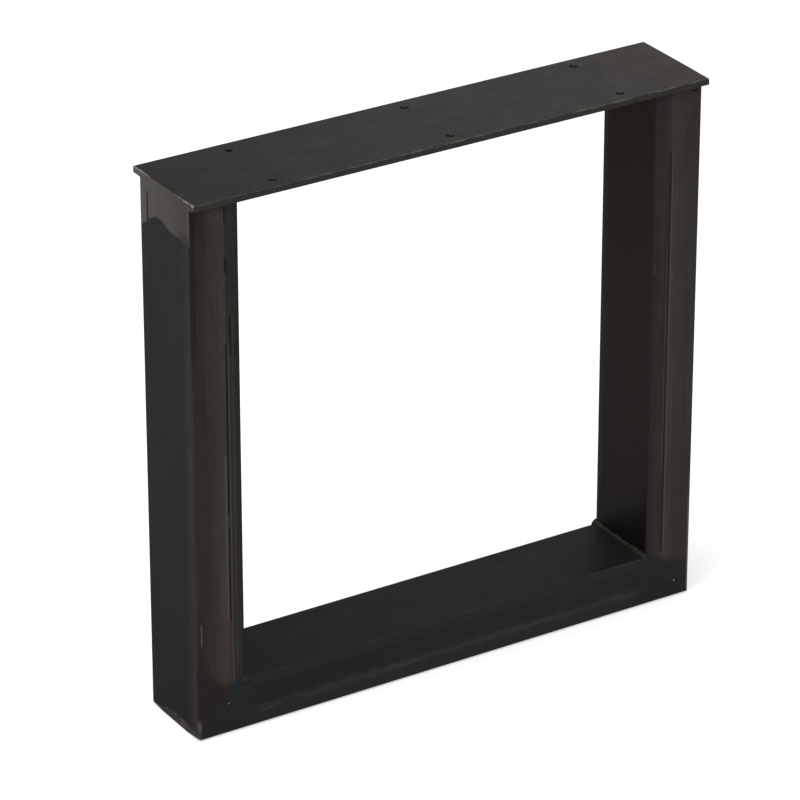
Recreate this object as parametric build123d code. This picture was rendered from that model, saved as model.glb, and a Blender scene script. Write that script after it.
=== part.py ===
from build123d import *
import os

# A bench leg: a U of mitred rectangular steel tube under a drilled steel plate.
# Millimetres. X runs along the plate, the front is towards -Y and Z is up.
# The origin is on the floor, under the middle of the frame.

# Overall size
frame_width = 430.0
frame_height = 425.0

# Rectangular tube, the same for both uprights and the rail
tube_depth = 70.0
tube_thickness = 40.0
tube_wall = 3.0
tube_corner_radius = 3.5
tube_inner_radius = 1.0

# Plate, flush with the uprights' ends and wider than the tube to the front and back
plate_thickness = 5.0
plate_overhang = 7.0
plate_edge_radius = 0.8

# Screw holes, measured from the plate's ends and from its long edges
hole_diameter = 7.0
hole_end_distance = 70.0
hole_edge_distance = 12.0
holes_per_row = 3
hole_rows = 2

# Butt weld round each mitre, ground flush; the outer corner is broken a little along its whole length,
# and the crown is how much more the grinder took off it at the front and back than in the middle
mitre_gap = 2.0
ground_corner_radius = 1.0
ground_corner_crown = 1.8

# Rippled bead in each inner corner, standing a little proud of the tubes' front and back
bead_leg = 2.8
bead_ripple_pitch = 4.0
bead_ripple_depth = 0.3
bead_proud = 0.4

# Weld along the top of each end face: the tube is bevelled down to this land, then filled
plate_weld_land = 0.5

# Places that follow from the sizes above
outer_x = frame_width / 2
inner_x = outer_x - tube_thickness
upright_height = frame_height - plate_thickness
plate_depth = tube_depth + 2 * plate_overhang
hole_pitch = (frame_width - 2 * hole_end_distance) / (holes_per_row - 1)
row_pitch = (plate_depth - 2 * hole_edge_distance) / (hole_rows - 1)
plate_weld_bevel = tube_wall - plate_weld_land

SIDES = {"left": -1, "right": 1}


def tube_outline():
    """Outer outline of the tube, thickness along X and depth along Y."""
    return RectangleRounded(tube_thickness, tube_depth, tube_corner_radius)


def tube_section():
    """Wall of the tube: its outline less the hollow."""
    bore_thickness = tube_thickness - 2 * tube_wall
    bore_depth = tube_depth - 2 * tube_wall
    return tube_outline() - RectangleRounded(bore_thickness, bore_depth, tube_inner_radius)


def upright_bar(section, side):
    """A section carried straight up from the floor to the plate."""
    foot = Pos(side * (outer_x - tube_thickness / 2), 0, 0)
    return foot * extrude(section, upright_height)


def rail_bar(section):
    """A section carried along the floor, from end to end of the frame."""
    end = Plane(origin=(-outer_x, 0, tube_thickness / 2), x_dir=(0, 0, 1), z_dir=(1, 0, 0))
    return extrude(end * section, frame_width)


def mitre_plane(side):
    """Plane across a bottom corner at 45 degrees, facing the upright."""
    return Plane(origin=(side * outer_x, 0, 0), x_dir=(0, 1, 0), z_dir=(side, 0, 1))


def corner_crown(side):
    """What lies beyond the crowned line of an outer bottom corner, an arc from front to back."""
    half_depth = tube_depth / 2
    crown_radius = (half_depth**2 + ground_corner_crown**2) / (2 * ground_corner_crown)
    corner = Plane(origin=(side * outer_x, 0, 0), x_dir=(0, 1, 0), z_dir=(-1, 0, -side))
    beyond = Rectangle(2 * tube_depth, tube_thickness) - Pos(0, -crown_radius) * Circle(crown_radius)
    return extrude(corner * beyond, tube_thickness, both=True)


def ground_envelope():
    """Front outline of the frame carried through the depth, with its bottom corners broken and crowned."""
    outline = Rectangle(frame_width, frame_height, align=(Align.CENTER, Align.MIN))
    bottom_corners = outline.vertices().group_by(Axis.Y)[0]
    envelope = extrude(Plane.XZ * fillet(bottom_corners, ground_corner_radius), tube_depth, both=True)
    for side in SIDES.values():
        envelope -= corner_crown(side)
    return envelope


def upright_with_bevel(side):
    """Upright cut square under the plate, bevelled along its outer top edge and mitred at its foot."""
    cut = mitre_plane(side).offset(mitre_gap / 2)
    upright = split(upright_bar(tube_section(), side), bisect_by=cut, keep=Keep.TOP)
    return upright - plate_weld_groove(side)


def mitred_rail():
    """Rail with both ends cut back from the mitres by half the weld's gap."""
    rail = rail_bar(tube_section())
    for side in SIDES.values():
        cut = mitre_plane(side).offset(-mitre_gap / 2)
        rail = split(rail, bisect_by=cut, keep=Keep.BOTTOM)
    return rail


def mitre_weld(side):
    """Ring of weld that fills the gap between upright and rail, through the whole wall."""
    middle = mitre_plane(side)
    upper = split(upright_bar(tube_section(), side), bisect_by=middle, keep=Keep.TOP)
    upper = split(upper, bisect_by=middle.offset(mitre_gap / 2), keep=Keep.BOTTOM)
    lower = split(rail_bar(tube_section()), bisect_by=middle, keep=Keep.BOTTOM)
    lower = split(lower, bisect_by=middle.offset(-mitre_gap / 2), keep=Keep.TOP)
    return upper + lower


def inner_corner_bead(side):
    """Row of flat-topped ripples turned about the corner's line, less the two tubes that it lies against."""
    valley = bead_leg - bead_ripple_depth
    half_length = tube_depth / 2 + bead_proud
    span = 2 * (half_length - valley)
    ripples = max(1, round(span / bead_ripple_pitch))
    step = span / ripples
    ripple_points = [(-span / 2, valley)]
    for ripple in range(ripples):
        start = ripple * step - span / 2
        crest = [(start + step / 3, bead_leg), (start + 2 * step / 3, bead_leg)]
        ripple_points += [*crest, (start + step, valley)]
    edges = [
        Line((-half_length, 0), (half_length, 0)),
        CenterArc((span / 2, 0), valley, 0, 90),
        Polyline(*ripple_points),
        CenterArc((-span / 2, 0), valley, 90, 90),
    ]
    corner = Plane(origin=(side * inner_x, 0, tube_thickness), x_dir=(0, 1, 0), z_dir=(1, 0, 0))
    bead = revolve(corner * make_face(edges), axis=Axis(corner.origin, corner.x_dir))
    return bead - upright_bar(tube_outline(), side) - rail_bar(tube_outline())


def plate_weld_groove(side):
    """Three-cornered groove along the top of an upright's end face, under the plate's end."""
    points = [
        (side * outer_x, upright_height),
        (side * outer_x, upright_height - plate_weld_bevel),
        (side * (outer_x - plate_weld_bevel), upright_height),
    ]
    return extrude(Plane.XZ * make_face(Polyline(*points, close=True)), tube_depth, both=True)


def plate_end_weld(side):
    """Weld that fills the groove, flush with the tube's end face and its rounded corners."""
    return upright_bar(tube_section(), side) & plate_weld_groove(side)


def mounting_plate():
    """Flat bar with slightly rounded long edges, drilled in rows."""
    bar = Box(frame_width, plate_depth, plate_thickness, align=(Align.CENTER, Align.CENTER, Align.MIN))
    bar = fillet(bar.edges().filter_by(Axis.X), plate_edge_radius)
    drill = Cylinder(hole_diameter / 2, 3 * plate_thickness)
    drills = GridLocations(hole_pitch, row_pitch, holes_per_row, hole_rows) * drill
    return Pos(0, 0, upright_height) * (bar - drills)


ground = ground_envelope()
pieces = {
    "mounting_plate": mounting_plate(),
    "bottom_rail": mitred_rail() & ground,
}
for name, side in SIDES.items():
    pieces[f"{name}_upright"] = upright_with_bevel(side) & ground
    pieces[f"{name}_mitre_weld"] = mitre_weld(side) & ground
    pieces[f"{name}_inner_corner_weld"] = inner_corner_bead(side)
    pieces[f"{name}_plate_end_weld"] = plate_end_weld(side)

os.makedirs("parts", exist_ok=True)
for name, piece in pieces.items():
    export_step(piece, f"parts/{name}.step")
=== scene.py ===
"""Looks of a welded steel bench leg: dark tube, a drilled plate, ground mitres and rippled beads."""
import logging
import math
from dataclasses import dataclass
from enum import Enum
from typing import Any

import bpy
import numpy as np
from bpy.types import ID, Material, Node, NodeSocket, NodeTree, Object
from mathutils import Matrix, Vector


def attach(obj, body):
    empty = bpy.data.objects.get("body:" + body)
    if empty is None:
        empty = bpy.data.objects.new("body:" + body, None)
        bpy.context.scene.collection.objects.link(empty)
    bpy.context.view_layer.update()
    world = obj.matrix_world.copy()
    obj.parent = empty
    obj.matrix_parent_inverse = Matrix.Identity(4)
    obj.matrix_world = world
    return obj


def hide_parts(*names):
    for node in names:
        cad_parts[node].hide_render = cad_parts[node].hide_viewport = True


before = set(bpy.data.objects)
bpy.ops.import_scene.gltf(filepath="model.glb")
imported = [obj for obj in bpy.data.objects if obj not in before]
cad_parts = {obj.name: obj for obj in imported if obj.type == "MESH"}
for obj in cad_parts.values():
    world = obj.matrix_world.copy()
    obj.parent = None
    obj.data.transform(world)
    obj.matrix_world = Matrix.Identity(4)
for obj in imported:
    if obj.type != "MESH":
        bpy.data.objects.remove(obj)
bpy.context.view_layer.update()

LOG = logging.getLogger("bench_frame")
BODY = "root"
MM = 0.001

# A face's mask holds until the rounded edge has fallen back this far, in millimetres, then fades out
FACE_HOLD = 0.4
FACE_FADE = 1.6

# Largest length, in millimetres, that a ramp of plain numbers stands for
RAMP_RANGE = 1000.0

# A constant, a socket, or a node whose first output is taken
Link = Any


class Side(Enum):
    """The two ends of the frame, as the sign of X."""

    LEFT = -1
    RIGHT = 1

    @property
    def word(self) -> str:
        """The side's name as the CAD nodes spell it."""
        return self.name.lower()


class Bend(Enum):
    """How a run of colours or numbers goes from one place to the next."""

    STRAIGHT = "LINEAR"
    CURVED = "CARDINAL"


def linear(colour: str) -> tuple[float, float, float, float]:
    """Turns an sRGB hex colour into linear light.

    Args:
        colour: A colour such as "#2a2826".

    Returns:
        Linear red, green and blue, and an alpha of one.
    """
    srgb = np.array([int(colour[i:i + 2], 16) for i in (1, 3, 5)]) / 255.0
    light = np.where(srgb <= 0.04045, srgb / 12.92, ((srgb + 0.055) / 1.055) ** 2.4)
    return (float(light[0]), float(light[1]), float(light[2]), 1.0)


@dataclass(frozen=True)
class NodeSheet:
    """A node tree that is filled through one function, and the few patterns made with it.

    Attributes:
        tree: The node tree of a material or of the world.
    """

    tree: NodeTree

    def add(
        self,
        kind: str,
        links: dict[str | int, Link] | None = None,
        stops: dict[float, str | float] | None = None,
        **settings: Any,
    ) -> Node:
        """Adds a node with its settings and links.

        Args:
            kind: Node type without its "ShaderNode" start.
            links: Input name or number to what goes in there.
            stops: Colours or plain numbers of a colour ramp, by their place from 0 to 1.
            settings: Properties of the node itself.

        Returns:
            The new node.
        """
        node = self.tree.nodes.new(f"ShaderNode{kind}")
        for name, value in settings.items():
            setattr(node, name, value)
        if stops:
            node.color_ramp.elements.remove(node.color_ramp.elements[1])
            for place, colour in sorted(stops.items()):
                first = place == min(stops)
                element = node.color_ramp.elements[0] if first else node.color_ramp.elements.new(place)
                element.position = place
                named = isinstance(colour, str)
                element.color = linear(colour) if named else (colour, colour, colour, 1.0)
        live = {socket.name: socket for socket in reversed(node.inputs) if socket.enabled}
        for key, value in (links or {}).items():
            socket = node.inputs[key] if isinstance(key, int) else live[key]
            if isinstance(value, Node):
                value = next(output for output in value.outputs if output.enabled)
            if isinstance(value, NodeSocket):
                self.tree.links.new(value, socket)
            else:
                socket.default_value = value
        return node

    def band(self, value: Link, start: float | None, stop: float | None, soft: float) -> Node:
        """Masks a stretch of a coordinate: one from start to stop, falling to zero over soft outside it.

        Args:
            value: The coordinate.
            start: Where the stretch begins, or None if that end is open.
            stop: Where it ends, or None if that end is open.
            soft: Width of each soft edge.

        Returns:
            The mask.
        """
        edges = [(edge, fade) for edge, fade in ((start, -soft), (stop, soft)) if edge is not None]
        return self.meet(*(
            self.add("MapRange", {"Value": value, "From Min": edge + fade, "From Max": edge},
                     interpolation_type="SMOOTHSTEP")
            for edge, fade in edges
        ))

    def meet(self, *masks: Link) -> Node:
        """Masks where several masks overlap.

        Args:
            masks: One mask or more.

        Returns:
            Their product.
        """
        product = masks[0]
        for mask in masks[1:]:
            product = self.add("Math", {0: product, 1: mask}, operation="MULTIPLY")
        return product

    def cloud(self, place: Link, size: tuple[float, float, float], detail: float = 3.0) -> Node:
        """Makes seamless noise around one half.

        Args:
            place: Position in millimetres.
            size: Size of a blotch along X, Y and Z in millimetres; a long one gives streaks.
            detail: Octaves of finer noise.

        Returns:
            The noise.
        """
        stretched = self.add("VectorMath", {0: place, 1: tuple(1 / length for length in size)},
                             operation="MULTIPLY")
        return self.add("TexNoise", {
            "Vector": stretched, "Scale": 1.0, "Detail": detail, "Roughness": 0.55,
        })

    def spread(
        self,
        value: Link,
        stops: dict[float, str | float],
        bend: Bend = Bend.STRAIGHT,
    ) -> Node:
        """Runs through colours, or numbers from 0 to 1, given at places along a coordinate.

        Args:
            value: The coordinate in millimetres.
            stops: Colour or number by its place in millimetres.
            bend: How it goes from one place to the next.

        Returns:
            The colour or number at the coordinate.
        """
        low, high = min(stops), max(stops)
        way = self.add("MapRange", {"Value": value, "From Min": low, "From Max": high})
        shares = {(place - low) / (high - low): colour for place, colour in stops.items()}
        ramp = self.add("ValToRGB", {"Fac": way}, stops=shares)
        ramp.color_ramp.interpolation = bend.value
        return ramp


@dataclass(frozen=True)
class Sizes:
    """Sizes of the frame in millimetres that the finishes follow."""

    outer: float = 215.0
    inner: float = 175.0
    front: float = -35.0
    back: float = 35.0
    plate_front: float = -42.0
    plate_under: float = 420.0
    plate_top: float = 425.0
    rail_top: float = 40.0
    tube_radius: float = 3.5


@dataclass(frozen=True)
class Place:
    """Where a point lies on the frame, in millimetres, as sockets of one node tree.

    Attributes:
        whole: Position from the frame's origin.
        x: Along the plate.
        y: Towards the back.
        z: Up.
        out: Distance from the frame's middle, the same to the left and to the right.
        deep: Distance from its middle line, the same to the front and to the back.
        mitre: Distance from the nearer mitre's plane, positive on the upright's side.
        corner: Way from the outer bottom corner over the end face or the underside.
    """

    whole: Link
    x: Link
    y: Link
    z: Link
    out: Link
    deep: Link
    mitre: Link
    corner: Link

    @classmethod
    def read(cls, sheet: NodeSheet, outer: float) -> "Place":
        """Reads the point's place from the object's own coordinates.

        Args:
            sheet: The material's node tree.
            outer: Half the frame's width in millimetres, where the mitres' planes meet the floor.

        Returns:
            The place.
        """
        spot = sheet.add("TexCoord").outputs["Object"]
        whole = sheet.add("VectorMath", {0: spot, "Scale": 1 / MM}, operation="SCALE")
        axes = sheet.add("SeparateXYZ", {"Vector": whole}).outputs
        out = sheet.add("Math", {0: axes["X"]}, operation="ABSOLUTE")
        deep = sheet.add("Math", {0: axes["Y"]}, operation="ABSOLUTE")
        rise = sheet.add("Math", {0: out, 1: axes["Z"]}, operation="ADD")
        mitre = sheet.add("MapRange", {
            "Value": rise, "From Min": outer, "From Max": outer + math.sqrt(2),
        }, clamp=False)
        drop = sheet.add("Math", {0: axes["Z"], 1: out}, operation="SUBTRACT")
        corner = sheet.add("Math", {0: drop, 1: outer}, operation="ADD")
        return cls(whole, axes["X"], axes["Y"], axes["Z"], out, deep, mitre, corner)


@dataclass
class Coat:
    """What a steel finish has laid down so far, layer on layer.

    Attributes:
        sheet: The material's node tree.
        place: Where the point lies on the frame.
        colour: Colour so far.
        roughness: Roughness so far.
        relief: Height of the surface so far, in millimetres.
    """

    sheet: NodeSheet
    place: Place
    colour: Link
    roughness: Link
    relief: Link = 0.0

    def lay(
        self,
        mask: Link,
        colour: Link | str | None = None,
        roughness: float | None = None,
        relief: float | None = None,
        amount: float = 1.0,
    ) -> None:
        """Lays a new layer where its mask is one.

        Args:
            mask: Share of the surface that the layer covers.
            colour: Its colour, if it changes the colour.
            roughness: Its roughness, if it changes that.
            relief: How far it stands up in millimetres, if it does.
            amount: How much of it is laid, from 0 to 1.
        """
        if amount < 1.0:
            mask = self.sheet.meet(mask, amount)
        if colour is not None:
            top = linear(colour) if isinstance(colour, str) else colour
            self.colour = self.sheet.add("Mix", {"Factor": mask, "A": self.colour, "B": top},
                                         data_type="RGBA")
        if roughness is not None:
            self.roughness = self.sheet.add("Mix", {"Factor": mask, "A": self.roughness, "B": roughness})
        if relief is not None:
            self.relief = self.sheet.add("Math", {0: mask, 1: relief, 2: self.relief},
                                         operation="MULTIPLY_ADD")

    def shade(self, pattern: Link, contrast: float, mask: Link = 1.0) -> None:
        """Darkens and lightens the colour with a pattern.

        Args:
            pattern: Noise around one half.
            contrast: Share by which the colour falls where the pattern is low and rises where it is high.
            mask: Share of the surface that is shaded.
        """
        tone = self.sheet.add("MapRange", {
            "Value": pattern, "From Min": 0.3, "From Max": 0.7,
            "To Min": 1 - contrast, "To Max": 1 + contrast,
        })
        self.colour = self.sheet.add("Mix", {"Factor": mask, "A": self.colour, "B": tone},
                                     data_type="RGBA", blend_type="MULTIPLY")

    def close(self, metallic: float, edge: str) -> None:
        """Ends the finish with its shader.

        Args:
            metallic: Share of bare metal.
            edge: Tint of the reflection at a grazing angle.
        """
        bump = self.sheet.add("Bump", {"Height": self.relief, "Strength": 1.0, "Distance": MM})
        shader = self.sheet.add("BsdfPrincipled", {
            "Base Color": self.colour, "Metallic": metallic, "Roughness": self.roughness,
            "Specular Tint": linear(edge), "Normal": bump,
        })
        self.sheet.add("OutputMaterial", {"Surface": shader})


def new_material(name: str) -> tuple[Material, NodeSheet]:
    """Makes an empty node material.

    Args:
        name: The material's name.

    Returns:
        The material and the sheet of its node tree.
    """
    material = bpy.data.materials.new(name)
    material.use_nodes = True
    material.node_tree.nodes.clear()
    return material, NodeSheet(material.node_tree)


def put(name: str, data: ID) -> Object:
    """Puts a mesh, a lamp or a camera into the scene.

    Args:
        name: Name of the new object.
        data: What it shows.

    Returns:
        The object, at the origin.
    """
    thing = bpy.data.objects.new(name, data)
    bpy.context.scene.collection.objects.link(thing)
    return thing


def dress(node: str, material: Material) -> None:
    """Gives a CAD node its finish and reports it.

    Args:
        node: Name of the CAD node.
        material: The finish.
    """
    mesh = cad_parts[node].data
    mesh.materials.clear()
    mesh.materials.append(material)
    LOG.info("%s wears %s", node, material.name)


@dataclass(frozen=True)
class GroundEnd:
    """What the grinder left at one end of the frame: a pale patch under the plate, a dark corner below.

    Attributes:
        side: Which end it is.
        foot: Depth of the patch under the plate, by the place from front to back, in millimetres.
        run: Place from front to back of a dark run that stayed in a hollow of the patch, if any did.
        run_top: Depth under the plate at which the run begins.
        run_width: Width of the run.
        ends: Height at which the dark corner ends, by the distance from the frame's middle.
        burnt: Colour of that corner on the upright's side of the joint.
        tint: Way along X from the inner corner to the heart of the blue that the heat left on the joint.
    """

    side: Side = Side.LEFT
    foot: tuple[tuple[float, float], ...] = ()
    run: float | None = None
    run_top: float = 6.0
    run_width: float = 1.6
    ends: tuple[tuple[float, float], ...] = ((175.0, 44.0), (215.0, 44.0))
    burnt: str = "#1f1f1e"
    tint: float = 5.5


@dataclass(frozen=True)
class SeamLine:
    """One straight line of the tube's seam along an upright's front.

    Attributes:
        step: How far outside the seam's groove it lies, in millimetres.
        half: Half its width.
        colour: Its colour.
        runs: Stretches of height, from and to, where it shows.
        relief: How far it stands up, below zero for a groove.
    """

    step: float
    half: float
    colour: str
    runs: tuple[tuple[float, float], ...]
    relief: float | None = None


@dataclass(frozen=True)
class FrontMark:
    """One mark on an upright's front: a scratch or a tone that the workshop left, or a patch of painted
    shadow.

    Attributes:
        out: From and to, as distances from the frame's middle, and the width of the soft edges.
        up: The same for its height.
        colour: Its colour.
        amount: How much of it is laid, from 0 to 1.
        relief: How far it stands up, below zero for a dent.
    """

    out: tuple[float | None, float | None, float]
    up: tuple[float | None, float | None, float]
    colour: str
    amount: float = 1.0
    relief: float | None = None


@dataclass(frozen=True)
class FrameSteel:
    """Mild steel in its mill scale, clear oiled, as all pieces of the frame share it.

    Attributes:
        size: Sizes that the layers follow.
        metallic: Share of metal; the rest is the dull oxide.
        edge: Tint of the reflection at a grazing angle, which the oxide dims.
    """

    size: Sizes = Sizes()
    metallic: float = 0.85
    edge: str = "#b0b0b0"

    def start(self, name: str, colour: str, roughness: float) -> tuple[Material, Coat]:
        """Starts a named finish with bare scale of one colour and roughness."""
        material, sheet = new_material(name)
        return material, Coat(sheet, Place.read(sheet, self.size.outer), linear(colour), roughness)

    def flats(self, coat: Coat) -> Node:
        """Masks the front and the back together, fading out over their rounded edges."""
        return coat.sheet.band(coat.place.deep, self.size.back - 1.0, None, 3.0)

    def scale_grain(self, coat: Coat) -> None:
        """Lays the clouds and the fine grain of mill scale, 16 and 1.6 mm across.

        The grain of real scale is about 0.2 mm; it is drawn coarser so that it shows.

        Args:
            coat: The finish so far.
        """
        cloud = coat.sheet.cloud(coat.place.whole, (16.0, 16.0, 16.0), 5.0)
        grain = coat.sheet.cloud(coat.place.whole, (1.6, 1.6, 1.6), 2.0)
        coat.shade(cloud, 0.1)
        coat.shade(grain, 0.05)
        coat.roughness = coat.sheet.add("Math", {0: cloud, 1: 0.12, 2: coat.roughness},
                                        operation="MULTIPLY_ADD")
        coat.lay(grain, relief=0.012)

    def ground_mitre(self, coat: Coat, ground: GroundEnd) -> None:
        """Lays the ground corners on the front and back, with lines across the joint.

        Args:
            coat: The finish so far.
            ground: How far the grinding goes and what it left.
        """
        sheet, place, size = coat.sheet, coat.place, self.size
        flat = self.flats(coat)
        waver = sheet.cloud(place.whole, (14.0, 14.0, 14.0), 3.0)
        stops = {where: high / RAMP_RANGE for where, high in ground.ends}
        ends = sheet.spread(place.out, stops, Bend.CURVED)
        swing = 8.0
        rest = sheet.add("Math", {0: ends, 1: RAMP_RANGE, 2: swing / 2}, operation="MULTIPLY_ADD")
        rest = sheet.add("Math", {0: waver, 1: -swing, 2: rest}, operation="MULTIPLY_ADD")
        rest = sheet.add("Math", {0: rest, 1: place.z}, operation="SUBTRACT")
        zone = sheet.meet(flat, sheet.band(rest, 4.0, None, 8.0),
                          sheet.band(place.out, size.inner + 4.0, None, 20.0))
        tone = sheet.spread(place.mitre, {-12.0: "#1f1f20", 0.0: "#1d1e1e", 10.0: ground.burnt})
        coat.lay(zone, colour=tone, roughness=0.4)
        lean = 0.9
        lines = sheet.add("VectorRotate", {"Vector": place.whole, "Axis": (0.0, 1.0, 0.0), "Angle": lean})
        scratch = sheet.cloud(lines, (1.2, 6.0, 26.0), 3.0)
        coat.shade(scratch, 0.07, zone)
        coat.lay(sheet.meet(scratch, zone), relief=0.012)
        joint = sheet.meet(flat, sheet.band(place.mitre, -0.3, 0.3, 1.6),
                           sheet.band(place.out, size.inner + 15.0, None, 6.0))
        broken = sheet.add("MapRange", {
            "Value": waver, "From Min": 0.4, "From Max": 0.65, "To Max": 0.45,
        })
        coat.lay(sheet.meet(joint, broken), colour="#2b2d2d")

    def heat_tint(self, coat: Coat, ground: GroundEnd) -> None:
        """Lays the faint blue that the weld's heat left on the joint, front and back.

        Args:
            coat: The finish so far.
            ground: Where the blue lies.
        """
        sheet, place, size = coat.sheet, coat.place, self.size
        heart = (ground.side.value * (size.inner + ground.tint), size.back, size.rail_top - ground.tint)
        spot = sheet.add("CombineXYZ", {"X": place.x, "Y": place.deep, "Z": place.z})
        away = sheet.add("VectorMath", {0: spot, 1: heart}, operation="DISTANCE").outputs["Value"]
        blue = sheet.meet(self.flats(coat), sheet.band(away, None, 2.0, 8.0))
        coat.lay(blue, colour="#1a2127", amount=0.45)

    def ground_end(self, coat: Coat, ground: GroundEnd, soft: float = 0.9) -> None:
        """Lays the pale patch at the top of an end face.

        Args:
            coat: The finish so far.
            ground: The patch's outline.
            soft: How far it fades round the face's edges.
        """
        sheet, place = coat.sheet, coat.place
        end = sheet.band(place.out, self.size.outer - soft / 2, None, soft)
        waver = sheet.cloud(place.whole, (4.0, 4.0, 5.0), 3.0)
        depth = sheet.add("Math", {0: self.size.plate_under, 1: place.z}, operation="SUBTRACT")
        stops = {where: deep / RAMP_RANGE for where, deep in ground.foot}
        foot = sheet.spread(place.y, stops, Bend.CURVED)
        swing = 3.0
        rest = sheet.add("Math", {0: foot, 1: RAMP_RANGE, 2: -swing / 2}, operation="MULTIPLY_ADD")
        rest = sheet.add("Math", {0: waver, 1: swing, 2: rest}, operation="MULTIPLY_ADD")
        rest = sheet.add("Math", {0: rest, 1: depth}, operation="SUBTRACT")
        shown = sheet.meet(end, sheet.band(rest, 1.2, None, 2.4))
        if ground.run is not None:
            half = ground.run_width / 2
            run = sheet.meet(sheet.band(place.y, ground.run - half, ground.run + half, 1.0),
                             sheet.band(depth, ground.run_top + 2.0, None, 2.0))
            clear = sheet.add("MapRange", {"Value": run, "To Min": 1.0, "To Max": 0.1})
            shown = sheet.meet(shown, clear)
        metal = sheet.spread(place.y, {
            -42.0: "#534e4a", -31.0: "#423d3b", 0.0: "#4a4744", 42.0: "#52504c",
        })
        coat.lay(shown, colour=metal, roughness=0.38)
        fade = sheet.meet(shown, sheet.band(place.y, None, -26.0, 8.0),
                          sheet.band(depth, 28.0, None, 12.0))
        coat.lay(fade, colour="#332f2c")
        scratch = sheet.cloud(place.whole, (4.0, 1.0, 40.0), 3.0)
        coat.shade(scratch, 0.07, shown)
        coat.lay(sheet.meet(scratch, shown), relief=0.015)

    def ground_corner(self, coat: Coat) -> None:
        """Lays the paler crescent of ground metal along the outer bottom corners.

        Its height falls with the square of the distance from a line a little in front of the middle.

        Args:
            coat: The finish so far.
        """
        sheet, place = coat.sheet, coat.place
        chips = sheet.cloud(place.whole, (3.0, 5.0, 3.0), 3.0)
        along = sheet.add("Math", {0: place.y, 1: 8.0}, operation="ADD")
        square = sheet.add("Math", {0: along, 1: along}, operation="MULTIPLY")
        reach = sheet.add("Math", {0: square, 1: 0.005, 2: place.corner}, operation="MULTIPLY_ADD")
        reach = sheet.add("Math", {0: chips, 1: -5.0, 2: reach}, operation="MULTIPLY_ADD")
        zone = sheet.band(reach, None, 4.5, 2.2)
        tone = sheet.spread(place.y, {
            -35.0: "#3a3431", -14.0: "#37322f", 8.0: "#30312c", 35.0: "#353535",
        })
        coat.lay(zone, colour=tone, roughness=0.42)
        bright = sheet.meet(zone, sheet.band(chips, 0.6, None, 0.06))
        coat.lay(bright, colour="#47423f", roughness=0.36)


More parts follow.
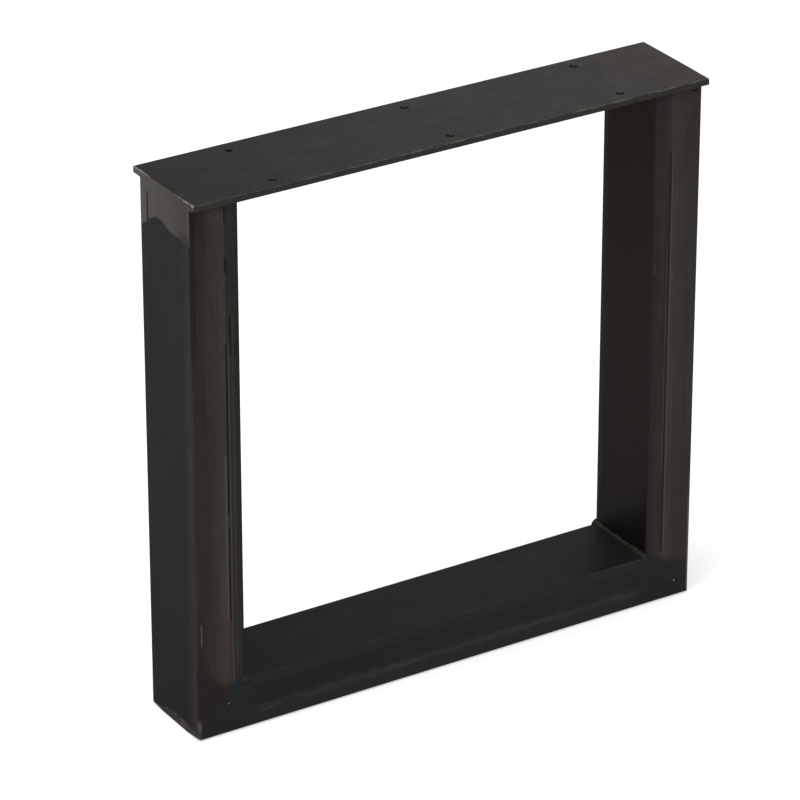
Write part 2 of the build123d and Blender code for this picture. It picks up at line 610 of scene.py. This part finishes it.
@dataclass(frozen=True)
class UprightSteel(FrameSteel):
    """Finish of an upright.

    Attributes:
        ground: What grinding left on it, and at which end.
        rim: Colour of the front's inner edge.
        strip: Colour of the front between that edge and the seam.
        brown: Colour of the front just outside the seam.
        shade: Colour of the front towards its outer edge.
        seam: Distance of the seam's groove from the frame's middle.
        lines: Lines of the seam, the groove last.
        oiled: How much painted shade darkens and roughens a strip beside the outer edge, by the height,
            if any.
        marks: Other marks on the front.
        rub: Stretch of height, from and to, where the outer front edge is rubbed bright and carries a
            painted highlight.
        rub_fade: Length over which that fades out.
        rub_reach: How far from the sharp corner it reaches, measured along X and Y together.
        rub_tone: Its colour.
    """

    ground: GroundEnd = GroundEnd()
    rim: str = "#232422"
    strip: str = "#232422"
    brown: str = "#342f29"
    shade: str = "#272320"
    seam: float = 187.1
    lines: tuple[SeamLine, ...] = ()
    oiled: tuple[tuple[float, float], ...] = ()
    marks: tuple[FrontMark, ...] = ()
    rub: tuple[float, float] = (9.0, 13.0)
    rub_fade: float = 6.0
    rub_reach: float = 1.5
    rub_tone: str = "#403d3a"

    def material(self) -> Material:
        """Builds the finish.

        Returns:
            The material.
        """
        # Strip rolled hot, bent and seam-welded keeps a brown-black scale, streaked along the tube;
        # oil makes it satin, and grinding leaves cool dark mitres and a pale patch under the plate
        name = f"mill-scaled seam-welded tube, oiled, {self.ground.side.word} upright"
        material, coat = self.start(name, "#282522", 0.38)
        sheet, place, size = coat.sheet, coat.place, self.size
        outside = sheet.band(place.out, size.outer - FACE_HOLD, None, FACE_FADE)
        inside = sheet.band(place.out, None, size.inner + FACE_HOLD, FACE_FADE)
        front = sheet.band(place.y, None, size.front + FACE_HOLD, FACE_FADE)
        # The end face is darker towards the bottom: painted shade
        coat.lay(outside, colour=sheet.spread(place.z, {
            0.0: "#1f1d1d", 150.0: "#222121", 380.0: "#292828",
        }))
        near = sheet.meet(outside, sheet.band(place.y, None, size.front + 2.0, 12.0))
        coat.lay(near, colour="#302e2c", amount=0.8)
        # The inner face is darker and browner up under the plate: painted shadow
        coat.lay(inside, colour=sheet.spread(place.z, {
            40.0: "#1d1a18", 220.0: "#1e1a18", 400.0: "#19130f",
        }))
        rear = sheet.meet(inside, sheet.band(place.y, size.back - 5.0, None, 5.0))
        coat.lay(rear, colour="#272521", amount=0.6)
        coat.lay(front, colour=sheet.spread(place.out, {
            size.inner: self.rim, size.inner + 7.0: self.strip,
            self.seam - 0.7: self.strip, self.seam + 0.9: self.brown,
            self.seam + 5.0: self.brown, size.outer - 9.0: self.shade, size.outer: self.shade,
        }), roughness=0.4)
        # Painted light: the front's inner edge colour laid over the rounded inner front corner, lifting
        # its shade
        shoulder = sheet.add("Math", {0: place.out, 1: place.y}, operation="ADD")
        coat.lay(sheet.band(shoulder, None, size.inner + size.front + 2.3, 1.2), colour=self.rim)
        self.scale_grain(coat)
        streak = sheet.cloud(place.whole, (1.5, 1.5, 240.0), 3.0)
        coat.shade(streak, 0.1)
        coat.lay(streak, relief=0.02)
        smear = sheet.cloud(place.whole, (6.0, 6.0, 70.0), 4.0)
        coat.shade(smear, 0.12, front)
        self.handling(coat, front)
        self.seam_lines(coat, front)
        self.ground_mitre(coat, self.ground)
        self.heat_tint(coat, self.ground)
        self.rubbed_edge(coat)
        # Painted shade on the inner face, low in the corner over the rail
        corner_shade = sheet.meet(inside, sheet.band(place.z, None, size.rail_top + 6.0, 26.0))
        coat.lay(corner_shade, colour="#17131a", roughness=0.55, amount=0.4)
        self.ground_end(coat, self.ground)
        self.ground_corner(coat)
        coat.close(self.metallic, self.edge)
        return material

    def seam_lines(self, coat: Coat, front: Link) -> None:
        """Lays the tube's seam: its dark groove, which comes and goes, and the lips beside it.

        Args:
            coat: The finish so far.
            front: Mask of the front face.
        """
        sheet, place = coat.sheet, coat.place
        wear = sheet.cloud(place.whole, (9.0, 9.0, 40.0), 3.0)
        thin = sheet.add("MapRange", {"Value": wear, "From Min": 0.3, "From Max": 0.5, "To Min": 0.7})
        for line in self.lines:
            shows = 0.0
            for low, high in line.runs:
                run = sheet.band(place.z, low, high, 4.0)
                shows = sheet.add("Math", {0: shows, 1: run}, operation="ADD")
            middle = self.seam + line.step
            width = sheet.band(place.out, middle - line.half, middle + line.half, 0.6)
            coat.lay(sheet.meet(front, width, shows, thin), colour=line.colour, relief=line.relief)

    def rubbed_edge(self, coat: Coat) -> None:
        """Lays the stretch of the outer front edge that was rubbed bright, with a painted highlight along
        it.

        Args:
            coat: The finish so far.
        """
        sheet, place, size = coat.sheet, coat.place, self.size
        step = sheet.add("Math", {0: place.out, 1: place.y}, operation="SUBTRACT")
        wander = sheet.cloud(place.whole, (6.0, 6.0, 30.0), 3.0)
        worn = sheet.add("Math", {0: wander, 1: 1.5, 2: step}, operation="MULTIPLY_ADD")
        arris = sheet.band(worn, size.outer - size.front - self.rub_reach, None, 0.4)
        bright = sheet.meet(arris, sheet.band(place.z, *self.rub, self.rub_fade))
        # Worn metal with a painted highlight on the rounded edge
        coat.lay(bright, colour=self.rub_tone, roughness=0.4)

    def handling(self, coat: Coat, front: Link) -> None:
        """Lays painted shadow under the plate, scratches from the shop, painted shade beside the outer
        front edge, and the other marks.

        Args:
            coat: The finish so far.
            front: Mask of the front face.
        """
        sheet, place, size = coat.sheet, coat.place, self.size
        # Painted shadow: the top of the front, under the plate's overhang, is darkened
        under = sheet.meet(front, sheet.band(place.z, size.plate_under - 1.0, None, 9.0))
        coat.lay(under, colour="#1e1c19", amount=0.65)
        scratches = sheet.cloud(place.whole, (1.1, 1.1, 13.0), 2.0)
        coat.lay(sheet.meet(front, sheet.band(scratches, 0.73, None, 0.03)), colour="#47423b", amount=0.5)
        # Painted shade: a strip beside the outer front edge is darkened and roughened, dimming the
        # highlight of its rounded corner
        if self.oiled:
            wander = sheet.cloud(place.whole, (6.0, 6.0, 30.0), 3.0)
            edge = sheet.add("Math", {0: wander, 1: place.out}, operation="ADD")
            strip = sheet.meet(sheet.band(edge, size.outer - 3.4, size.outer - 0.4, 0.9),
                               sheet.band(place.y, None, size.front + 1.6, 0.8),
                               sheet.spread(place.z, dict(self.oiled)))
            coat.lay(strip, colour="#1d1b19", roughness=0.55)
        for mark in self.marks:
            spot = sheet.meet(front, sheet.band(place.out, *mark.out), sheet.band(place.z, *mark.up))
            coat.lay(spot, colour=mark.colour, relief=mark.relief, amount=mark.amount)


@dataclass(frozen=True)
class RailSteel(FrameSteel):
    """Finish of the bottom rail.

    Attributes:
        ends: What grinding left at its two ends.
    """

    ends: tuple[GroundEnd, ...] = ()

    def material(self) -> Material:
        """Builds the finish.

        Returns:
            The material.
        """
        # The same tube lying down: a more neutral grey-black, with one pale band low on its front
        # where the rolls of the tube mill rubbed the scale
        name = "mill-scaled seam-welded tube, oiled, bottom rail"
        material, coat = self.start(name, "#212121", 0.36)
        sheet, place, size = coat.sheet, coat.place, self.size
        front = sheet.band(place.y, None, size.front + FACE_HOLD, FACE_FADE)
        top = sheet.band(place.z, size.rail_top - FACE_HOLD, None, FACE_FADE)
        coat.lay(front, colour=sheet.spread(place.x, {
            -175.0: "#1d1c1c", 0.0: "#1f1f1f", 100.0: "#212121", 190.0: "#201f20",
        }))
        coat.lay(top, colour=sheet.spread(place.x, {
            -175.0: "#1e1b1c", 0.0: "#242323", 175.0: "#262424",
        }))
        self.scale_grain(coat)
        streak = sheet.cloud(place.whole, (240.0, 1.5, 1.5), 3.0)
        coat.shade(streak, 0.07)
        coat.lay(streak, relief=0.015)
        pale = sheet.spread(place.z, {9.0: 0.0, 10.8: 0.75, 13.0: 1.0, 15.0: 0.75, 17.0: 0.2, 21.0: 0.0})
        broken = sheet.cloud(place.whole, (40.0, 8.0, 4.0), 3.0)
        broken = sheet.add("MapRange", {"Value": broken, "From Min": 0.2, "From Max": 0.55})
        fleck = sheet.cloud(place.whole, (9.0, 4.0, 1.6), 2.0)
        fleck = sheet.add("MapRange", {"Value": fleck, "From Min": 0.35, "From Max": 0.6, "To Min": 0.5})
        rubbed = sheet.meet(front, pale, broken, fleck,
                            sheet.band(place.out, None, size.inner - 15.0, 24.0))
        coat.lay(rubbed, colour="#302f30", roughness=0.4)
        # Painted light: the bottom of the front, in the floor's shadow, is lifted lighter
        low = sheet.meet(front, sheet.band(place.z, None, 9.0, 2.0))
        coat.lay(low, colour="#252425", amount=0.8)
        shoulder = sheet.add("Math", {0: place.z, 1: place.y}, operation="SUBTRACT")
        # Painted highlight: a soft lighter band under the top front edge
        broad = sheet.band(shoulder, size.rail_top - size.front - 3.5, None, 6.0)
        coat.lay(sheet.meet(broad, front), colour="#252526", amount=0.6)
        dull = sheet.band(shoulder, size.rail_top - size.front - 2.2, None, 0.8)
        coat.lay(dull, roughness=0.62)
        # The rail's own side of both joints looks alike, so the plain values serve there
        self.ground_mitre(coat, GroundEnd())
        for ground in self.ends:
            self.heat_tint(coat, ground)
        # Painted light: the rail's top is lifted lighter near the inner corners, where the uprights shade
        # it
        painted_corner_light = sheet.meet(top, sheet.band(place.x, size.inner - 4.0, None, 32.0))
        coat.lay(painted_corner_light, colour="#282527", roughness=0.5)
        self.ground_corner(coat)
        coat.close(self.metallic, self.edge)
        return material


@dataclass(frozen=True)
class PlateSteel(FrameSteel):
    """Finish of the mounting plate.

    Attributes:
        hole_pitch: Distance between holes along the plate.
        hole_row: Distance of each row of holes from the plate's middle line.
        hole_radius: Radius of the holes.
    """

    hole_pitch: float = 145.0
    hole_row: float = 30.0
    hole_radius: float = 3.5

    def material(self) -> Material:
        """Builds the finish.

        Returns:
            The material.
        """
        # Flat bar rolled hot has an even grey-black scale with faint lines along its length;
        # its long edges are rubbed bright in places and the front top one carries a painted highlight,
        # its ends ground pale and its holes drilled bare with painted shade deep inside
        material, coat = self.start("hot-rolled flat bar, oiled", "#2d2b29", 0.4)
        sheet, place = coat.sheet, coat.place
        top = sheet.band(place.z, self.size.plate_top - 0.15, None, 0.4)
        coat.lay(top, colour=sheet.spread(place.x, {
            -210.0: "#2c2a28", 20.0: "#353432", 210.0: "#3c3937",
        }))
        self.scale_grain(coat)
        roll = sheet.cloud(place.whole, (120.0, 3.0, 3.0), 3.0)
        coat.shade(roll, 0.04)
        self.drilled(coat)
        self.front_arris(coat)
        self.ground_end(coat, GroundEnd(foot=((-42.0, 30.0), (42.0, 30.0))), soft=0.1)
        self.nicks(coat)
        coat.close(self.metallic, self.edge)
        return material

    def drilled(self, coat: Coat) -> None:
        """Lays bare metal on the walls of the holes, bright where the burr was taken off, with painted
        shade darkening it deeper down.

        Args:
            coat: The finish so far.
        """
        sheet, place = coat.sheet, coat.place
        along = sheet.add("Math", {0: place.out, 1: self.hole_pitch / 2}, operation="PINGPONG")
        across = sheet.add("Math", {0: place.deep, 1: self.hole_row}, operation="SUBTRACT")
        spot = sheet.add("CombineXYZ", {"X": along, "Y": across})
        away = sheet.add("VectorMath", {0: spot}, operation="LENGTH").outputs["Value"]
        wall = sheet.band(away, None, self.hole_radius + 0.02, 0.08)
        top = self.size.plate_top
        # Bare metal near the top of each wall, painted shade deeper down
        tone = sheet.spread(place.z, {
            top - 2.2: "#1d1b1a", top - 1.6: "#333130", top - 1.0: "#585653", top: "#5e5c59",
        })
        coat.lay(wall, colour=tone, roughness=0.4)

    def front_arris(self, coat: Coat) -> None:
        """Lays the broken bright line along the plate's front top edge, brighter towards the right:
        rubbed metal and painted highlight, over painted shade that dims the edge.

        Args:
            coat: The finish so far.
        """
        sheet, place = coat.sheet, coat.place
        arris = sheet.add("Math", {0: place.z, 1: place.y}, operation="SUBTRACT")
        amount = sheet.spread(place.x, {-215.0: 0.1, -60.0: 0.55, 215.0: 1.0})
        chips = sheet.cloud(place.whole, (11.0, 3.0, 3.0), 3.0)
        sharp = self.size.plate_top - self.size.plate_front
        # Painted shade: the front top edge is darkened, dimming its highlight
        dull = sheet.band(arris, sharp - 0.9, None, 0.4)
        coat.lay(dull, colour="#2c2a28", roughness=0.5, amount=0.7)
        # Rubbed metal and painted highlight: bright dashes along the front top edge
        rubbed = sheet.add("MapRange", {"Value": chips, "From Min": 0.46, "From Max": 0.58})
        line = sheet.meet(sheet.band(arris, sharp - 1.0, None, 0.4),
                          sheet.band(place.z, self.size.plate_top - 0.6, None, 0.5), rubbed, amount)
        coat.lay(line, colour="#504e4a", roughness=0.36)

    def nicks(self, coat: Coat) -> None:
        """Lays bright nicks along the top edge of the ground ends, most of them at the corners.

        Args:
            coat: The finish so far.
        """
        sheet, place = coat.sheet, coat.place
        rim = sheet.add("Math", {0: place.z, 1: place.out}, operation="ADD")
        nick = sheet.cloud(place.whole, (4.0, 4.0, 4.0), 3.0)
        bite = sheet.spread(place.y, {-42.0: 1.0, -18.0: 0.35, 10.0: 0.1, 42.0: 0.9})
        cut = sheet.add("Math", {0: sheet.meet(nick, bite), 1: 4.0, 2: rim}, operation="MULTIPLY_ADD")
        sharp = self.size.plate_top + self.size.outer
        coat.lay(sheet.band(cut, sharp + 0.8, None, 0.4), colour="#77736f", roughness=0.34)
        self.slanting_nick(coat)

    def slanting_nick(self, coat: Coat, slope: float = 0.8) -> None:
        """Lays the dark nick that runs slantwise over the left end of the plate's front overhang.

        Args:
            coat: The finish so far.
            slope: How much the nick rises towards the back.
        """
        sheet, place, size = coat.sheet, coat.place, self.size
        level = sheet.add("Math", {0: place.y, 1: -slope, 2: place.z}, operation="MULTIPLY_ADD")
        middle_y = (size.plate_front + size.front) / 2
        middle_z = (size.plate_under + size.plate_top) / 2
        middle = middle_z - slope * middle_y
        nick = sheet.meet(sheet.band(level, middle - 0.7, middle + 0.7, 0.5),
                          sheet.band(place.x, None, 0.3 - size.outer, 0.2),
                          sheet.band(place.y, None, size.front - 0.5, 1.0))
        coat.lay(nick, colour="#151312", relief=-0.2)


@dataclass(frozen=True)
class GroundWeld(FrameSteel):
    """Finish of the welds that are ground flush with the tubes.

    Attributes:
        ground: What grinding left on them, and at which end.
        pore: Distance from the frame's middle of the one pore that it opened in the mitre's front.
        pore_size: Its radius.
    """

    ground: GroundEnd = GroundEnd()
    pore: float = 190.0
    pore_size: float = 0.3

    def material(self) -> Material:
        """Builds the finish.

        Returns:
            The material.
        """
        # Weld metal has no scale of its own: ground flush and oiled, it takes the tone of the ground
        # steel around it, and one small pore shows as a painted dark hollow with a painted glint on its
        # rim
        name = f"steel weld ground flush, oiled, {self.ground.side.word}"
        material, coat = self.start(name, "#222222", 0.36)
        sheet, place, size = coat.sheet, coat.place, self.size
        self.scale_grain(coat)
        self.ground_mitre(coat, self.ground)
        self.heat_tint(coat, self.ground)
        self.ground_end(coat, self.ground)
        self.ground_corner(coat)
        rim = (self.ground.side.value * self.pore, size.front, size.outer - self.pore)
        hollow = (rim[0] + 1.1, rim[1], rim[2] - 0.3)
        # Painted shade in the pore's hollow and a painted glint on its rim
        for spot, colour, relief in ((hollow, "#0c0c0c", -0.1), (rim, "#7a7875", 0.05)):
            away = sheet.add("VectorMath", {0: place.whole, 1: spot}, operation="DISTANCE")
            pit = sheet.band(away.outputs["Value"], None, self.pore_size, 0.35)
            coat.lay(pit, colour=colour, relief=relief)
        coat.close(self.metallic, self.edge)
        return material


@dataclass(frozen=True)
class BeadSteel(FrameSteel):
    """Finish of the beads in the inner corners."""

    def material(self) -> Material:
        """Builds the finish.

        Returns:
            The material.
        """
        # A bead left as it froze oxidises to olive and grey, and its ripples stay a little glossier
        # than the scale
        material, coat = self.start("steel weld bead, oxidised", "#1a1a17", 0.36)
        coat.colour = coat.sheet.spread(coat.place.y, {
            -35.0: "#282523", -30.0: "#23221f", -20.0: "#1f2019", 5.0: "#1c1e1d", 35.0: "#23231b",
        })
        self.scale_grain(coat)
        coat.close(self.metallic, self.edge)
        return material


@dataclass(frozen=True)
class CornerBead:
    """Rippled bead in an inner corner of the frame, along its whole depth.

    Attributes:
        side: Which corner.
        size: Sizes of the frame.
        leg: Height and width of the bead in millimetres.
        proud: How far its ends stand out from the tubes' front and back.
        cap: Length over which each end is rounded off.
        pitch: Distance from ripple to ripple.
        depth: Depth of the ripples.
        bury: How far the toes reach into the tubes.
        bulge: Exponent of the rounded section, 1 for a flat fillet and 2 for a quarter circle.
        swell: Share by which the bead is thicker at its back end, where it was begun.
        second: Share by which a second, short run makes it thicker at its front.
        second_run: Length of that run.
        rings: Rings along the bead.
        points: Points of each ring on the visible face.
    """

    side: Side
    size: Sizes = Sizes()
    leg: float = 2.6
    proud: float = 0.3
    cap: float = 1.6
    pitch: float = 3.2
    depth: float = 0.3
    bury: float = 0.6
    bulge: float = 1.5
    swell: float = 0.4
    second: float = 0.32
    second_run: float = 23.0
    rings: int = 280
    points: int = 22

    def surface(self) -> tuple[np.ndarray, list[list[int]]]:
        """Works out the bead as a closed skin.

        The radius at a place along the bead and an angle across it is a superellipse with equal legs,
        times a slow waver that swells towards the back and steps up where the second run begins, plus
        crescent-shaped ripples whose crests lag behind in the middle. The toes reach a fixed depth under
        the tubes' faces, which curve away near the ends along a quarter circle. Each ring then shrinks
        towards a point in the corner by a quarter ellipse, and a pole closes each end.

        Returns:
            Points in metres and faces that look outwards.
        """
        half_length = self.size.back + self.proud
        round_off = self.size.tube_radius
        along = np.linspace(-1.0, 1.0, self.rings + 2)[1:-1] * half_length
        across = np.linspace(0.0, np.pi / 2, self.points)
        y, turn = np.meshgrid(along, across, indexing="ij")
        unit = (np.cos(turn) ** self.bulge + np.sin(turn) ** self.bulge) ** (-1 / self.bulge)
        shift = 0.7 * self.side.value
        slow = 0.07 * np.sin(y / 3.7 + shift)
        quick = 0.04 * np.sin(y / 1.9 + 2 * turn + 3 * shift)
        waver = 1 + slow + quick
        waver += self.swell * np.clip((y - 0.7 * self.size.back) / (0.25 * self.size.back), 0.0, 1.0)
        waver += self.second * np.clip((self.second_run - self.size.back - y) / 2.0, 0.0, 1.0)
        crest = y / self.pitch + 0.35 * np.sin(2 * turn) + 0.12 * np.sin(y / 4.0)
        ripple = self.depth * (np.abs(np.sin(np.pi * crest)) - 0.5)
        radius = self.leg * waver * unit + ripple
        over = np.clip(np.abs(along) - self.size.back + round_off, 0.0, round_off)[:, None]
        toe = -self.bury - round_off + np.sqrt(round_off ** 2 - over ** 2)
        inward = np.hstack([radius[:, :1], radius * np.cos(turn), toe, toe])
        up = np.hstack([toe, radius * np.sin(turn), radius[:, -1:], toe])
        gone = np.clip((np.abs(along) - half_length + self.cap) / self.cap, 0.0, 1.0)[:, None]
        shrink = np.sqrt(1 - gone ** 2)
        heart = -round_off / 2
        inward, up = heart + (inward - heart) * shrink, heart + (up - heart) * shrink
        ring = inward.shape[1]
        skin = np.stack([inward, np.repeat(along[:, None], ring, axis=1), up], axis=2).reshape(-1, 3)
        poles = np.array([[heart, -half_length, heart], [heart, half_length, heart]])
        points = np.vstack([skin, poles])
        points[:, 0] = self.side.value * (self.size.inner - points[:, 0])
        points[:, 2] += self.size.rail_top
        row, column = np.meshgrid(np.arange(self.rings - 1), np.arange(ring), indexing="ij")
        nearby = (column + 1) % ring
        quads = np.stack([row * ring + column, (row + 1) * ring + column,
                          (row + 1) * ring + nearby, row * ring + nearby], axis=2).reshape(-1, 4)
        edge = np.arange(ring)
        after = (edge + 1) % ring
        last = (self.rings - 1) * ring
        front = np.stack([edge, after, np.full(ring, len(skin))], axis=1)
        back = np.stack([last + after, last + edge, np.full(ring, len(skin) + 1)], axis=1)
        if self.side is Side.RIGHT:
            quads, front, back = quads[:, ::-1], front[:, ::-1], back[:, ::-1]
        return points * MM, quads.tolist() + front.tolist() + back.tolist()

    def build(self, finish: Material) -> None:
        """Makes the bead's object in place of the plain CAD bead.

        Args:
            finish: Its material.
        """
        node = f"{self.side.word}_inner_corner_weld"
        name = f"{self.side.word}_rippled_bead"
        points, faces = self.surface()
        mesh = bpy.data.meshes.new(name)
        mesh.from_pydata(points, [], faces)
        mesh.polygons.foreach_set("use_smooth", np.ones(len(faces), dtype=bool))
        mesh.materials.append(finish)
        bead = put(name, mesh)
        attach(bead, BODY)
        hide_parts(node)
        LOG.info("%s stands for %s", name, node)


@dataclass(frozen=True)
class FrameEnd:
    """One end of the frame: its upright, its ground welds and the bead in its inner corner.

    Attributes:
        upright: Finish of the upright.
        weld: Finish of the mitre's weld and of the weld under the plate's end.
        bead: The bead in the corner.
    """

    upright: UprightSteel
    weld: GroundWeld
    bead: CornerBead

    def build(self, bead_finish: Material) -> None:
        """Dresses the CAD nodes of this end and builds its bead.

        Args:
            bead_finish: Material of the bead.
        """
        word = self.upright.ground.side.word
        dress(f"{word}_upright", self.upright.material())
        weld_finish = self.weld.material()
        dress(f"{word}_mitre_weld", weld_finish)
        dress(f"{word}_plate_end_weld", weld_finish)
        self.bead.build(bead_finish)


@dataclass(frozen=True)
class Camera:
    """Long lens at the photograph's angle.

    Attributes:
        azimuth: Degrees round the object, zero in front of it.
        elevation: Degrees above the floor.
        distance: Metres from the point that it looks at.
        aim: That point.
        focal: Focal length in millimetres on a sensor as wide as `sensor`.
        sensor: Sensor width in millimetres.
        reach: How far it sees, in metres.
    """

    azimuth: float = -32.03
    elevation: float = 26.28
    distance: float = 3.585
    aim: tuple[float, float, float] = (-0.0176, 0.0079, 0.2059)
    focal: float = 221.65
    sensor: float = 36.0
    reach: float = 100.0

    def build(self) -> None:
        """Adds the camera and makes it the scene's own."""
        turn, rise = math.radians(self.azimuth), math.radians(self.elevation)
        back = Vector((math.sin(turn) * math.cos(rise), -math.cos(turn) * math.cos(rise), math.sin(rise)))
        data = bpy.data.cameras.new("photo_camera")
        data.lens = self.focal
        data.sensor_width = self.sensor
        data.clip_end = self.reach
        camera = put(data.name, data)
        camera.location = Vector(self.aim) + back * self.distance
        camera.rotation_euler = (math.pi / 2 - rise, 0.0, turn)
        bpy.context.scene.camera = camera


@dataclass(frozen=True)
class Studio:
    """White floor and even, soft light from above and from the left.

    Attributes:
        white: Colour of the dome, and of the floor where it is lifted.
        floor_colour: Colour of the floor.
        floor_lift: Share by which the eye sees it lifted to white.
        floor_radius: Radius of the round floor in metres.
        floor_gap: How far it lies under the rail, in metres.
        floor_points: Points of its rim.
        dome: Strength of the dome as a lamp; the eye and reflections see it white.
        aim: Point that the lamps look at, in metres.
        lamps: Name, place in metres, size in metres and power in watts of each soft lamp.
    """

    white: str = "#ffffff"
    floor_colour: str = "#f4f4f4"
    floor_lift: float = 0.5
    floor_radius: float = 30.0
    floor_gap: float = 0.1 * MM
    floor_points: int = 64
    dome: float = 0.5
    aim: tuple[float, float, float] = (0.0, 0.0, 0.2)
    lamps: tuple[tuple[str, tuple[float, float, float], float, float], ...] = (
        ("top_softbox", (-0.4, -0.3, 3.0), 3.0, 110.0),
        ("left_softbox", (-3.0, -1.2, 1.8), 2.0, 60.0),
    )

    def build(self) -> None:
        """Adds the floor, the dome of light and the lamps."""
        self.floor()
        self.sky()
        for name, place, size, power in self.lamps:
            data = bpy.data.lights.new(name, "AREA")
            data.shape = "DISK"
            data.size = size
            data.energy = power
            lamp = put(name, data)
            lamp.location = place
            towards = Vector(self.aim) - Vector(place)
            lamp.rotation_euler = towards.to_track_quat("-Z", "Y").to_euler()

    @staticmethod
    def seen(sheet: NodeSheet) -> Node:
        """Masks the rays of the eye, of reflections and of glass.

        Args:
            sheet: Node tree of the floor or of the dome.

        Returns:
            The mask.
        """
        path = sheet.add("LightPath").outputs
        eye = sheet.add("Math", {0: path["Is Camera Ray"], 1: path["Is Glossy Ray"]}, operation="MAXIMUM")
        return sheet.add("Math", {0: eye, 1: path["Is Transmission Ray"]}, operation="MAXIMUM")

    def floor(self) -> None:
        """Adds a round, nearly white floor just under the rail, lifted towards white for the eye."""
        turn = np.linspace(0.0, 2 * np.pi, self.floor_points, endpoint=False)
        across, along = self.floor_radius * np.cos(turn), self.floor_radius * np.sin(turn)
        rim = np.stack([across, along, np.full_like(turn, -self.floor_gap)], axis=1)
        mesh = bpy.data.meshes.new("floor")
        mesh.from_pydata(rim.tolist(), [], [list(range(len(rim)))])
        # Matt white board scatters light evenly: it keeps the soft shadow and shows no gloss
        material, sheet = new_material("matt white floor")
        paper = sheet.add("BsdfDiffuse", {"Color": linear(self.floor_colour)})
        glow = sheet.add("Emission", {"Color": linear(self.white), "Strength": 1.0})
        lift = sheet.meet(self.seen(sheet), self.floor_lift)
        sheet.add("OutputMaterial", {"Surface": sheet.add("MixShader", {0: lift, 1: paper, 2: glow})})
        mesh.materials.append(material)
        put("floor", mesh)

    def sky(self) -> None:
        """Adds a dome that is white to the eye and in reflections, and a softer light elsewhere."""
        world = bpy.data.worlds.new("studio")
        world.use_nodes = True
        world.node_tree.nodes.clear()
        sheet = NodeSheet(world.node_tree)
        strength = sheet.add("MapRange", {"Value": self.seen(sheet), "To Min": self.dome, "To Max": 1.0})
        light = sheet.add("Background", {"Color": linear(self.white), "Strength": strength})
        sheet.add("OutputWorld", {"Surface": light})
        bpy.context.scene.world = world


def frame_ends() -> tuple[FrameEnd, FrameEnd]:
    """Lists what differs between the two ends, which were welded and ground by hand.

    Returns:
        The left and the right end.
    """
    left = GroundEnd(
        Side.LEFT,
        foot=(
            (-35.0, 29.5), (-28.0, 26.5), (-8.0, 26.0), (4.0, 22.0),
            (15.0, 24.0), (25.0, 31.0), (35.0, 36.0),
        ),
        run=22.7, ends=((175.0, 42.0), (197.0, 43.0), (215.0, 62.0)), burnt="#211c1c",
    )
    right = GroundEnd(
        Side.RIGHT,
        foot=((-35.0, 24.0), (-24.0, 28.0), (-10.0, 22.0), (16.0, 31.0), (26.0, 27.0), (35.0, 30.0)),
        ends=((175.0, 40.0), (215.0, 30.0)), tint=9.5,
    )
    return (
        FrameEnd(
            UprightSteel(
                ground=left,
                lines=(
                    SeamLine(-5.2, 0.5, "#2c2d2b", ((60.0, 331.0),)),
                    SeamLine(-1.6, 0.4, "#383631", ((44.0, 310.0),)),
                    SeamLine(1.9, 0.7, "#3f3a34", ((94.0, 222.0),)),
                    SeamLine(-3.4, 0.4, "#131210", ((304.0, 331.0),), -0.08),
                    SeamLine(0.0, 0.45, "#131210", (
                        (94.0, 166.0), (180.0, 310.0), (368.0, 376.0), (406.0, 418.0),
                    ), -0.08),
                ),
                oiled=((60.0, 0.6), (95.0, 0.4), (115.0, 0.05), (280.0, 0.1), (330.0, 0.9)),
                marks=(
                    FrontMark((211.1, 211.7, 0.5), (80.0, 93.0, 4.0), "#46413e", relief=-0.05),
                    # Painted shadow under the plate's front left corner
                    FrontMark((210.0, None, 6.0), (411.0, None, 16.0), "#15110c", amount=0.45),
                ),
            ),
            GroundWeld(ground=left, pore=190.0, pore_size=0.3),
            CornerBead(left.side),
        ),
        FrameEnd(
            UprightSteel(
                ground=right,
                rim="#252221", strip="#292624", brown="#36302a", shade="#2f2b28", seam=188.2,
                lines=(
                    SeamLine(-3.2, 0.3, "#24211f", ((165.0, 300.0),)),
                    SeamLine(-1.6, 0.3, "#322f2c", ((110.0, 300.0),)),
                    SeamLine(1.9, 0.3, "#3f3c3a", ((44.0, 368.0),)),
                    SeamLine(0.0, 0.4, "#1d1b19", ((44.0, 368.0),), -0.08),
                ),
                marks=(
                    FrontMark((199.0, None, 8.0), (None, 110.0, 60.0), "#2a2622", amount=0.5),
                    # Painted shadow just under the plate's corner, with a shallow groove
                    FrontMark((206.0, 210.0, 0.8), (414.5, 415.5, 0.5), "#100e0d", relief=-0.1),
                ),
                rub=(28.0, 55.0), rub_fade=60.0, rub_reach=2.4, rub_tone="#4d4945",
            ),
            GroundWeld(ground=right, pore=200.9, pore_size=0.5),
            CornerBead(right.side),
        ),
    )


def main() -> None:
    """Builds the scene and reports each piece."""
    logging.basicConfig(level=logging.INFO, format="%(name)s: %(message)s")
    bpy.context.scene.view_settings.view_transform = "Standard"
    bead_finish = BeadSteel().material()
    ends = frame_ends()
    for end in ends:
        end.build(bead_finish)
    dress("bottom_rail", RailSteel(ends=tuple(end.upright.ground for end in ends)).material())
    dress("mounting_plate", PlateSteel().material())
    Studio().build()
    Camera().build()


if __name__ == "__main__":
    main()
